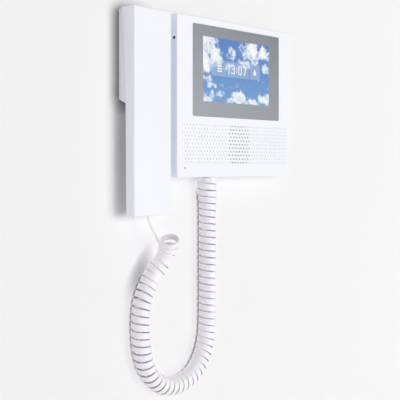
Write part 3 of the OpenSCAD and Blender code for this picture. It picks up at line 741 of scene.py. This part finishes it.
def make_front_cover():
    """The hollow front moulding with its posts, pockets, grille and openings."""
    shell = solid("front_cover_shell", slab_rings(
        *MONITOR, CORNER, (0, 0), (FRONT_Y, SEAM_Y), front=0.9 * MM, back=0.2 * MM))
    inside = (MONITOR[0] - 2 * WALL, MONITOR[1] - 2 * WALL)
    combine(shell, solid("cut", slab_rings(*inside, 1 * MM, (0, 0), (INNER_Y, SEAM_Y + OVER))))
    root = INNER_Y - 0.5 * MM
    posts = [post(mm_pair(p), (root, SEAM_Y - 2 * MM), CASE_POST_R) for p in CASE_SCREWS]
    posts += [post(mm_pair(p), (root, -11.05 * MM), LOW_POST_R) for p in LOW_POSTS]
    posts.append(post(MIC, (root, INNER_Y + 2.5 * MM), MIC_POST_R))
    combine(shell, solid("posts", *posts), "UNION")
    combine(shell, solid("seat", post(MIC, (INNER_Y, INNER_Y + 3 * MM), MIC_SEAT_R)))
    combine(shell, solid("cut", slab_rings(
        GLASS_SIZE[0] + 0.2 * MM, GLASS_SIZE[1] + 0.2 * MM, 2 * MM, GLASS_AT,
        (FRONT_Y - OVER, LEDGE_Y))))
    combine(shell, solid("cut", slab_rings(
        *DISPLAY_CUT, 1 * MM, DISPLAY_AT, (FRONT_Y - OVER, INNER_Y + OVER))))
    cuts = grille_cutters()
    cuts.append(post(MIC, (FRONT_Y - OVER, INNER_Y + OVER), MIC_HOLE_R, 24))
    cuts += [post(mm_pair(p), (SEAM_Y - 9 * MM, SEAM_Y + OVER), CASE_BORE_R)
             for p in CASE_SCREWS]
    cuts += [post(mm_pair(p), (-17.05 * MM, -10 * MM), LOW_BORE_R) for p in LOW_POSTS]
    # The cord's opening in the underside, and a small slot to its right
    plug_lo, plug_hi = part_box("cord_plug_monitor")
    plug_x = (plug_lo.x + plug_hi.x) / 2
    cuts.append(block_rings(
        (plug_x - 5 * MM, plug_x + 5 * MM), (-14.8 * MM, SEAM_Y + OVER),
        (BOTTOM_Z - OVER, BOTTOM_Z + 3 * MM)))
    cuts.append(block_rings(
        (33.5 * MM, 40.5 * MM), (-20.5 * MM, -17.5 * MM), (BOTTOM_Z - OVER, BOTTOM_Z + 1 * MM)))
    # The setup pin's hole in the left side, with a lead at its rim
    pin = [[(x, SETUP[0] + r * math.cos(a), SETUP[1] + r * math.sin(a))
            for a in (2 * math.pi * k / 24 for k in range(24))]
           for x, r in ((LEFT_X - OVER, SETUP_RIM_R), (LEFT_X, SETUP_RIM_R),
                        (LEFT_X + 0.2 * MM, SETUP_HOLE_R), (LEFT_X + WALL + OVER, SETUP_HOLE_R))]
    combine(shell, solid("cuts", *cuts, pin))
    return shell


def finish(obj, body, mat, angle=SMOOTH_ANGLE):
    """Puts a new piece on its body, with one material and smooth edges."""
    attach(obj, body)
    obj.data.materials.clear()
    obj.data.materials.append(mat)
    smooth(obj, angle)


front_cover = make_front_cover()
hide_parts("front_cover")
finish(front_cover, "base", housing_white, CRISP_ANGLE)
# The walls of the pinholes take the dark plastic
front_cover.data.materials.append(dark_plastic)
for face in front_cover.data.polygons:
    c = face.center
    in_mic = math.hypot(c.x - MIC[0], c.z - MIC[1]) < 0.9 * MM and c.y < INNER_Y + 0.05 * MM
    in_setup = (math.hypot(c.y - SETUP[0], c.z - SETUP[1]) < 1.45 * MM
                and c.x < LEFT_X + WALL + 0.5 * MM)
    if in_mic or in_setup:
        face.material_index = 1


def on_planes(*planes):
    """Picks the edges whose middle lies on at least two of the given planes (axis, place)."""
    def pick(middle):
        return sum(abs(middle[axis] - place) < ON_PLANE for axis, place in planes) >= 2
    return pick


HS_LO, HS_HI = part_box("handset_outer")
handset_sides = [(0, HS_LO.x), (0, HS_HI.x), (2, HS_LO.z), (2, HS_HI.z), (1, HS_LO.y)]
handset = from_cad("handset_outer", "handset_shell", 1.1 * MM, 5, on_planes(*handset_sides))
finish(handset, "handset", housing_white)

# Node, new piece, width of its rounded edges in mm, body, slot, material
ROUNDED_PARTS = [
    ("handset_inner", "handset_back", 0.25, "handset", "back_white", back_white),
    ("cradle_cover", "cradle_shell", 0.35, "base", "housing_white", housing_white),
    ("cradle_base", "cradle_plate", 0.3, "base", "back_white", back_white),
    ("rear_cover", "rear_cover_shell", 0.25, "base", "back_white", back_white),
    ("wall_bracket", "wall_bracket_plate", 0.2, "base", "bracket_steel", bracket_steel),
]
for node, name, width, body, slot, mat in ROUNDED_PARTS:
    finish(from_cad(node, name, width * MM, 2), body, mat)


# ---------- screen ----------

def on_screen(u, v):
    """The place (x, z) of a share of the picture's width and height."""
    return (PICTURE_X[0] + u * (PICTURE_X[1] - PICTURE_X[0]),
            PICTURE_Z[0] + v * (PICTURE_Z[1] - PICTURE_Z[0]))


def rect(u0, v0, u1, v1):
    """A rectangle's corners, from shares of the picture's width and height."""
    return [on_screen(u0, v0), on_screen(u1, v0), on_screen(u1, v1), on_screen(u0, v1)]


# Clock digits and signs as outlines in boxes one unit wide and two high. A point counts as lit
# where it lies inside an odd number of outlines.
SIGNS = {
    "1": [[(0.42, 0), (0.68, 0), (0.68, 2), (0.46, 2), (0.08, 1.72), (0.08, 1.44), (0.42, 1.66)]],
    "3": [[(0, 0.2), (0.2, 0), (0.8, 0), (1, 0.2), (1, 0.84), (0.86, 1), (1, 1.16), (1, 1.8),
           (0.8, 2), (0.2, 2), (0, 1.8), (0, 1.56), (0.24, 1.56), (0.3, 1.76), (0.7, 1.76),
           (0.75, 1.7), (0.75, 1.2), (0.68, 1.11), (0.3, 1.11), (0.3, 0.89), (0.68, 0.89),
           (0.75, 0.8), (0.75, 0.3), (0.7, 0.24), (0.3, 0.24), (0.24, 0.44), (0, 0.44)]],
    "0": [[(0.22, 0), (0.78, 0), (1, 0.26), (1, 1.74), (0.78, 2), (0.22, 2), (0, 1.74), (0, 0.26)],
          [(0.33, 0.24), (0.67, 0.24), (0.75, 0.36), (0.75, 1.64), (0.67, 1.76), (0.33, 1.76),
           (0.25, 1.64), (0.25, 0.36)]],
    "7": [[(0, 2), (1, 2), (1, 1.72), (0.52, 0), (0.24, 0), (0.71, 1.74), (0, 1.74)]],
    ":": [[(0, 0.35), (0.3, 0.35), (0.3, 0.65), (0, 0.65)],
          [(0, 1.2), (0.3, 1.2), (0.3, 1.5), (0, 1.5)]],
    "bars": [[(0, 0), (1, 0), (1, 0.34), (0, 0.34)], [(0, 0.62), (1, 0.62), (1, 0.96), (0, 0.96)],
             [(0, 1.24), (1, 1.24), (1, 1.58), (0, 1.58)]],
    "bell": [[(0, 0.3), (1, 0.3), (0.82, 0.6), (0.8, 1.3), (0.6, 1.62), (0.4, 1.62), (0.2, 1.3),
              (0.18, 0.6)], [(0.4, 0), (0.6, 0), (0.6, 0.18), (0.4, 0.18)]],
    "drop": [[(0.5, 1.7), (0.95, 0.75), (0.85, 0.25), (0.5, 0), (0.15, 0.25), (0.05, 0.75)]],
}
# What is shown, as (sign, left edge, foot, width, height) in shares of the picture
SHOWN = [
    ("1", 0.350, 0.463, 0.048, 0.074), ("3", 0.410, 0.463, 0.054, 0.074),
    (":", 0.482, 0.463, 0.048, 0.074), ("0", 0.514, 0.463, 0.054, 0.074),
    ("7", 0.588, 0.463, 0.054, 0.074), ("bars", 0.205, 0.475, 0.066, 0.066),
    ("bell", 0.415, 0.735, 0.060, 0.066), ("drop", 0.745, 0.475, 0.054, 0.064),
]
BANDS = [(0.125, 0.41, 0.325, 0.66), (0.338, 0.41, 0.678, 0.66), (0.692, 0.41, 0.85, 0.66)]


def inside(p, outline):
    """Whether p lies inside a closed outline."""
    hit = False
    for (ax, ay), (bx, by) in zip(outline, outline[1:] + outline[:1]):
        if (ay > p[1]) != (by > p[1]) and p[0] < ax + (bx - ax) * (p[1] - ay) / (by - ay):
            hit = not hit
    return hit


def make_picture_pane(materials):
    """The clear middle of the cover glass, with its front parted into sky, bands and signs."""
    lit = []
    for sign, left, foot, wide, high in SHOWN:
        for outline in SIGNS[sign]:
            lit.append([on_screen(left + x * wide, foot + y * high) for x, y in outline])
    bands = [rect(*band) for band in BANDS]
    points, edges = [], []
    for outline in [rect(0, 0, 1, 1)] + bands + lit:
        first = len(points)
        points += [Vector(p) for p in outline]
        n = len(outline)
        edges += [(first + i, first + (i + 1) % n) for i in range(n)]
    flat, _, faces, *_ = delaunay_2d_cdt(points, edges, [], 0, 1e-7)
    front, back = GLASS_LO.y, GLASS_HI.y
    bm = bmesh.new()
    verts = [bm.verts.new((p.x, front, p.y)) for p in flat]
    for face in faces:
        f = bm.faces.new([verts[i] for i in face])
        c = f.calc_center_median()
        spot = (c.x, c.z)
        if sum(inside(spot, o) for o in lit) % 2:
            f.material_index = 2
        elif any(inside(spot, o) for o in bands):
            f.material_index = 1
    # The first four points are the picture's corners
    deep = [bm.verts.new((p.x, back, p.y)) for p in flat[:4]]
    bm.faces.new(deep)
    for i in range(4):
        j = (i + 1) % 4
        bm.faces.new((verts[i], verts[j], deep[j], deep[i]))
    return add_object("picture_pane", mesh_from(bm, "picture_pane"), materials)


pane = make_picture_pane([
    picture("display_picture"),
    picture("display_band", (0.55, 0.64, 0.78), 0.38),
    picture("display_sign", (0.96, 0.97, 1.0), 0.92)])
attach(pane, "base")

PANE_GAP = 0.005 * MM
glass = solid("cover_glass_border", slab_rings(
    *GLASS_SIZE, 2 * MM, GLASS_AT, (GLASS_LO.y, GLASS_HI.y), front=0.25 * MM, steps=3))
combine(glass, solid("cut", block_rings(
    (PICTURE_X[0] - PANE_GAP, PICTURE_X[1] + PANE_GAP),
    (GLASS_LO.y - OVER, GLASS_HI.y + OVER),
    (PICTURE_Z[0] - PANE_GAP, PICTURE_Z[1] + PANE_GAP))))
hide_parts("screen_glass")
finish(glass, "base", border_print_and_reflection(), CRISP_ANGLE)


# ---------- finishes of the CAD parts that stay ----------

STAYING = [
    (dark_plastic, ["display_frame", "cord_socket", "setup_switch", "hook_switch",
                    "handset_socket", "speaker", "ear_capsule", "setup_button"]),
    (circuit_board, ["main_board", "handset_board"]),
    (terminal_green, ["terminal_block"]),
    (screw_steel, ["terminal_screws", "case_screws", "board_screws", "bridge_screws",
                   "cradle_screws", "handset_screws", "hook_spring", "handset_weight"]),
    (black_rubber, ["speaker_gasket", "mic_boot", "ear_gasket", "handset_mic_boot"]),
    (black_cloth, ["speaker_cloth"]),
    (magnet_nickel, ["cradle_magnet", "handset_magnet"]),
    (ribbon_amber, ["display_ribbon"]),
    (lead_red, ["speaker_lead", "hook_lead", "ear_lead"]),
    (plug_clear, ["cord_plug_handset", "cord_plug_monitor"]),
    (housing_white, ["hook_plunger"]),
    (metal("lcd_metal", (0.55, 0.56, 0.58), 0.3, (1, 1, 6), 200), ["lcd_panel"]),
    (capsule("microphone"), ["microphone"]),
    (capsule("handset_mic"), ["handset_mic"]),
]
for mat, nodes in STAYING:
    for node in nodes:
        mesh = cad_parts[node].data
        mesh.materials.clear()
        mesh.materials.append(mat)


# ---------- stage ----------

WALL_COLOUR = (0.91, 0.902, 0.905)
FLOOR_COLOUR = (0.8, 0.8, 0.8)
FLOOR_Z = -1.2
WALL_Y = 0.4 * MM
WALL_HALF, WALL_TOP, FLOOR_HALF = 4, 3, 6
NEAR_LIGHT = 0.014  # light that bounced nearer than this passes through the wall
# The wall's shade beside the handset: how far it reaches, where it starts in x and ends in z,
# and how its strength grows with z
CORNER_REACH = 0.0135
CORNER_SIDE, CORNER_FOOT = (-0.10, -0.13), (-0.195, -0.165)
CORNER_POWER, CORNER_GROWS = (1.2, 1.9), (0.01, -0.05)
# and its shade behind the cord: how far it reaches, where it starts in z, and its strength
CREVICE_REACH = 0.0026
CREVICE_TOP = (-0.09, -0.10)
CREVICE_POWER = 1.5
WORLD_LIGHT = 0.42


def plain(name, colour):
    """A matt shader of one colour."""
    return Shader(name, Base_Color=(*colour, 1), Roughness=1, Specular_IOR_Level=0)


def quad(name, points, mat):
    """A flat piece of the stage."""
    mesh = bpy.data.meshes.new(name)
    mesh.from_pydata(points, [], [(0, 1, 2, 3)])
    obj = add_object(name, mesh, [mat])
    return obj


def wall_finish():
    """Pale paint that is clear from behind, and clear to light that bounced close by."""
    s = plain("wall", WALL_COLOUR)
    where = s.node("NewGeometry")
    path = s.node("LightPath")
    near = s.math("LESS_THAN", path.outputs["Ray Length"], NEAR_LIGHT)
    bounced = s.math("MULTIPLY", near, path.outputs["Is Diffuse Ray"])
    clear = s.math("MAXIMUM", bounced, where.outputs["Backfacing"])
    shown = s.node("MixShader", {
        0: clear, 1: s.bsdf.outputs[0], 2: s.node("BsdfTransparent").outputs[0]})
    s.tree.links.new(shown.outputs[0], s.tree.nodes["Material Output"].inputs["Surface"])
    x, _, z = s.node("SeparateXYZ", {0: where.outputs["Position"]}).outputs
    # Deeper shade in the corner beside the handset, more so at its lower part
    close = s.node("AmbientOcclusion", {"Distance": CORNER_REACH}, samples=8).outputs["AO"]
    deeper = s.math("POWER", close, s.spread(z, *CORNER_POWER, *CORNER_GROWS))
    share = s.math("MULTIPLY", s.spread(x, 0, 1, *CORNER_SIDE), s.spread(z, 0, 1, *CORNER_FOOT))
    tone = s.mix(share, (*WALL_COLOUR, 1), deeper, "MULTIPLY")
    # and in the crevice behind the hanging cord
    crevice = s.node("AmbientOcclusion", {"Distance": CREVICE_REACH}, samples=8).outputs["AO"]
    darker = s.math("POWER", crevice, CREVICE_POWER)
    s.link(s.mix(s.spread(z, 0, 1, *CREVICE_TOP), tone, darker, "MULTIPLY"), "Base Color")
    return s.mat


wall = quad("wall", [
    (-WALL_HALF, WALL_Y, FLOOR_Z), (WALL_HALF, WALL_Y, FLOOR_Z),
    (WALL_HALF, WALL_Y, WALL_TOP), (-WALL_HALF, WALL_Y, WALL_TOP)], wall_finish())
wall.visible_shadow = False
quad("floor", [
    (-FLOOR_HALF, -FLOOR_HALF, FLOOR_Z), (FLOOR_HALF, -FLOOR_HALF, FLOOR_Z),
    (FLOOR_HALF, FLOOR_HALF, FLOOR_Z), (-FLOOR_HALF, FLOOR_HALF, FLOOR_Z)],
    plain("floor", FLOOR_COLOUR).mat)

world = bpy.data.worlds.new("world")
scene.world = world
world.use_nodes = True
world.node_tree.nodes["Background"].inputs["Color"].default_value = (1, 1, 1, 1)
world.node_tree.nodes["Background"].inputs["Strength"].default_value = WORLD_LIGHT
scene.view_settings.view_transform = "Standard"


def area_light(name, place, target, size, power, colour=(1, 1, 1)):
    """A round lamp at place that faces target."""
    data = bpy.data.lights.new(name, "AREA")
    data.shape = "DISK"
    data.size = size
    data.energy = power
    data.color = colour
    lamp = bpy.data.objects.new(name, data)
    scene.collection.objects.link(lamp)
    lamp.location = place
    lamp.rotation_euler = (Vector(target) - Vector(place)).to_track_quat("-Z", "Y").to_euler()
    return lamp


def group(name, objects):
    """A collection for light linking."""
    made = bpy.data.collections.new(name)
    for obj in objects:
        made.objects.link(obj)
    return made


KEY_PLACE, KEY_TARGET, KEY_SIZE = (1.3, -4.4, -0.1), (0, 0, -0.1), 3.0
area_light("key", KEY_PLACE, KEY_TARGET, KEY_SIZE, 26)
# The larger part of the key passes the cord, as light wrapped round it by a white room would
wrapped = area_light("key_wrapped", KEY_PLACE, KEY_TARGET, KEY_SIZE, 98)
wrapped.light_linking.blocker_collection = group(
    "blockers", [obj for obj in scene.objects if obj.type == "MESH" and obj is not cord])
area_light("side", (-2.6, -0.35, -0.1), (0, 0, -0.05), 1.2, 5.5, (0.78, 0.84, 1.0))
# A small lamp by the camera that lights the cord alone
front = area_light("cord_front", (-1.3, -1.3, -0.1), (-0.08, 0, -0.2), 0.9, 3.2, (1.0, 0.96, 1.0))
front.light_linking.receiver_collection = group("cord_only", [cord])
# and a cool one that reaches the monitor's side through the gap by the handset
gap = area_light("gap_side", (-2.5, -0.35, 0), (0, 0, 0), 1.2, 7.5, (0.46, 0.63, 1.0))
monitor_only = group("monitor_only", [front_cover])
gap.light_linking.receiver_collection = monitor_only
gap.light_linking.blocker_collection = monitor_only
# Light from behind the wall, for the views from the back
area_light("behind", (0.4, 1.6, 0.3), (0, 0, -0.05), 1.4, 12)
